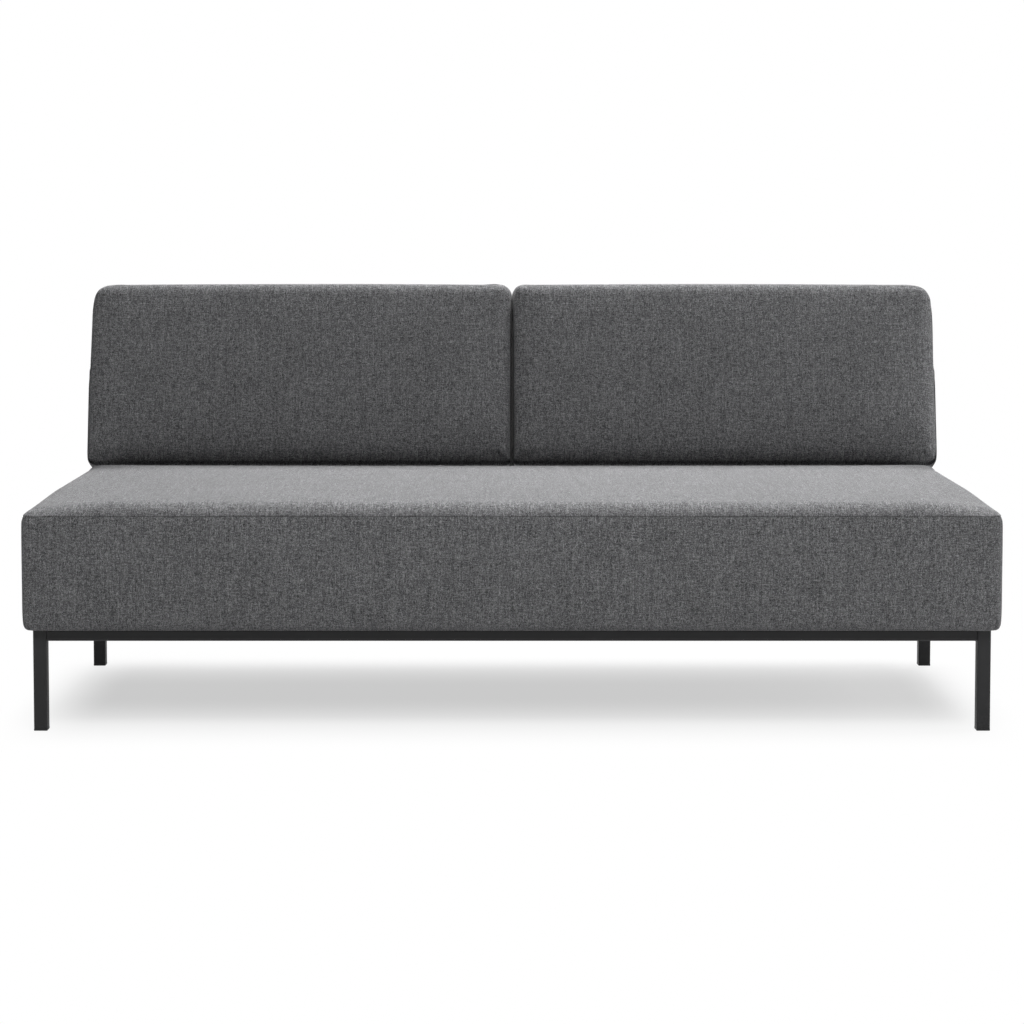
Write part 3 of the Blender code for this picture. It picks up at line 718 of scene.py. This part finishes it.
dust = Finish("black_spunbond", Specular_IOR_Level=0.2)
place = dust.start.node("TexCoord", out=3)
fibres = grain(place, place, 1200.0, 4.0, 0.7)
dust.varies("Base Color", fibres.between((0.008, 0.008, 0.008), (0.035, 0.035, 0.036)))
dust.varies("Roughness", fibres * 0.2 + 0.75)
dust.raised(fibres, 0.0002)
under_cloth = stretched_cloth("under_cloth", DUST_SIZE, dust, DUST_PLACE)
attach(under_cloth, "frame_and_seat")
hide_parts("dust_cloth")


# Hinges. Flat steel posts on the rear rail and bent arms on the backs' stiles, powder-coated black
# with the base.
powder_coat.wear(*(f"hinge_{piece}_{hinge}" for piece in ("post", "arm") for hinge in HINGES))


# Backs. Two boxed cushions on plywood boards, in the same weave, each with a plain seam round its
# front panel just inside the edges. A cloth of the weave is sewn over the boards behind. They lean
# back from the seat's rear edge, roll under at their lower edges, and sag there between the hinges.
BACK_SIZE = (0.9030, 0.3978, 0.155)
BACK_RADIUS = 0.028
BACK_SEAM_DROP = 0.0090
BACK_POCKET = 0.0379
BACK_RAKE = math.radians(14.0)
BACK_CENTRE = 0.45275
PIN = (0.27566, 0.404881)
BACK_REAR = 0.137081
PIN_TO_END = 0.014
HALF_A_HAIR = 0.000025
TOP_OUTER_CORNER = 0.050
TOP_INNER_CORNER = 0.024
LOW_OUTER_CORNER = 0.018
LOW_INNER_CORNER = 0.013
BACK_CROWN = 0.0065
BACK_BELLY = 0.004
BACK_ROLL = 0.057
BACK_CHIN = 2.0
BACK_SEAM_DIP = 0.022
BACK_SAG = 0.020
OUTSIDE_SIZE = (0.8265, 0.324)
OUTSIDE_STANDS = 0.0009
for side, toward_right in zip(SIDES, (-1, 1)):
    upright = (
        Matrix.Translation((toward_right * BACK_CENTRE, *PIN))
        @ Matrix.Rotation(-BACK_RAKE, 4, "X")
        @ Matrix.Translation((0.0, BACK_REAR, PIN_TO_END))
        @ Matrix.Rotation(math.pi / 2, 4, "X")
    )
    corners = {
        (toward_right, 1): TOP_OUTER_CORNER,
        (-toward_right, 1): TOP_INNER_CORNER,
        (toward_right, -1): LOW_OUTER_CORNER,
        (-toward_right, -1): LOW_INNER_CORNER,
    }
    back_pad = upholster(
        f"{side}_back_pad", BACK_SIZE, BACK_RADIUS, BACK_RADIUS, corners, BACK_SEAM_DROP, BACK_POCKET,
        BACK_CROWN, BACK_BELLY, upright, rolled=BACK_ROLL, chin=BACK_CHIN, dip=BACK_SEAM_DIP,
        sag=BACK_SAG, meets=-toward_right * (BACK_CENTRE - HALF_A_HAIR),
    )
    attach(back_pad, f"{side}_back")
    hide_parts(f"{side}_back_cover", f"{side}_back_foam")
    behind = upright @ Matrix.Translation((0.0, BACK_SIZE[1] / 2, -OUTSIDE_STANDS))
    outside_cloth = stretched_cloth(f"{side}_outside_cloth", OUTSIDE_SIZE, weave, behind)
    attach(outside_cloth, f"{side}_back")
    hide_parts(f"{side}_back_outside_cloth")


# Studio. A pale floor that keeps the soft shadow under the seat, a large softbox overhead and behind,
# one high in front, weak ones at the right and low behind, and a long lens at the photograph's height.
floor_mesh = bpy.data.meshes.new("floor")
bm = bmesh.new()
bmesh.ops.create_grid(bm, x_segments=1, y_segments=1, size=30.0)
bm.to_mesh(floor_mesh)
bm.free()
floor = bpy.data.objects.new("floor", floor_mesh)
bpy.context.scene.collection.objects.link(floor)
FLOOR_GLOW = 0.57
FLOOR_SEEN = 0.22
FLOOR_BOUNCE = 0.66
BOUNCE_FROM = 0.40
BOUNCE_TO = 0.0
BOUNCE_BEHIND = 0.02
SHADOW_MIDDLE = (0.0, 0.085, 0.0)
SHADOW_FULL = (0.78, 0.06)
SHADOW_GONE = (0.98, 0.58)
paper = bpy.data.materials.new("pale_floor")
paper.use_nodes = True
tree = paper.node_tree
tree.nodes.remove(tree.nodes["Principled BSDF"])
start = Shade(tree)
path = start.node("LightPath")
seen = path + path.beside("Is Glossy Ray") + path.beside("Is Transmission Ray")
spot = start.node("TexCoord", out=3)
spot = start.node("VectorMath", {0: spot, 1: SHADOW_MIDDLE}, operation="ADD")
spot = start.node("SeparateXYZ", {0: start.node("VectorMath", {0: spot}, operation="ABSOLUTE")})
inside = 1.0
for axis, (full, gone) in enumerate(zip(SHADOW_FULL, SHADOW_GONE)):
    along = spot.beside("XYZ"[axis])
    fade = start.node("MapRange", {"Value": along, 1: full, 2: gone}, interpolation_type="SMOOTHSTEP")
    inside = (1.0 - fade) * inside
far = 1.0 - inside
glow = start.node("Emission", {"Strength": FLOOR_GLOW})
lit = start.node("BsdfDiffuse", {"Color": (FLOOR_SEEN,) * 3 + (1.0,)})
ahead = start.node("TexCoord", out=3)
ahead = start.node("SeparateXYZ", {0: ahead}, out=1)
reach = {"Value": ahead, 1: BOUNCE_FROM, 2: BOUNCE_TO}
ahead = start.node("MapRange", reach, interpolation_type="SMOOTHSTEP")
bounce = start.node("BsdfDiffuse", {"Color": ahead.between((BOUNCE_BEHIND,) * 3, (FLOOR_BOUNCE,) * 3)})
white = start.node("Emission", {"Strength": 1.0})
shown = start.node("AddShader", {0: glow, 1: lit})
shown = start.node("MixShader", {0: far, 1: shown, 2: white})
mixed = start.node("MixShader", {0: seen, 1: bounce, 2: shown})
tree.links.new(mixed.socket, tree.nodes["Material Output"].inputs["Surface"])
floor_mesh.materials.append(paper)

world = bpy.data.worlds.new("studio")
bpy.context.scene.world = world
world.use_nodes = True
tree = world.node_tree
start = Shade(tree)
path = start.node("LightPath")
seen = path + path.beside("Is Transmission Ray")
WORLD_LEVEL = 0.08
level = seen * (1.0 - WORLD_LEVEL) + WORLD_LEVEL
background = tree.nodes["Background"]
tree.links.new(level.socket, background.inputs["Strength"])
background.inputs["Color"].default_value = (1.0, 1.0, 1.0, 1.0)


def softbox(name, location, target, size, watts):
    lamp = bpy.data.lights.new(name, "AREA")
    lamp.shape = "RECTANGLE"
    lamp.size, lamp.size_y = size
    lamp.energy = watts
    obj = bpy.data.objects.new(name, lamp)
    bpy.context.scene.collection.objects.link(obj)
    obj.location = location
    obj.rotation_euler = (Vector(target) - Vector(location)).to_track_quat("-Z", "Y").to_euler()


softbox("overhead", (0.3, 1.6, 3.35), (0.0, 0.1, 0.4), (3.2, 1.0), 300.0)
softbox("front", (0.42, -2.6, 4.0), (0.0, 0.0, 0.4), (3.0, 1.4), 133.0)
softbox("behind", (-0.8, 4.0, 1.0), (0.0, 0.3, 0.4), (2.4, 1.2), 60.0)
softbox("right", (3.4, 0.26, 1.3), (0.0, 0.14, 0.4), (1.0, 1.8), 50.0)

EYE = (0.0, -5.3432, 0.9609)
LOOK_DOWN = math.radians(3.858)
lens = bpy.data.cameras.new("camera")
lens.sensor_width = 36.0
lens.lens = 93.363
lens.shift_y = -0.12
camera = bpy.data.objects.new("camera", lens)
bpy.context.scene.collection.objects.link(camera)
camera.location = EYE
camera.rotation_euler = (math.pi / 2 - LOOK_DOWN, 0.0, 0.0)
bpy.context.scene.camera = camera
bpy.context.scene.view_settings.view_transform = "Standard"
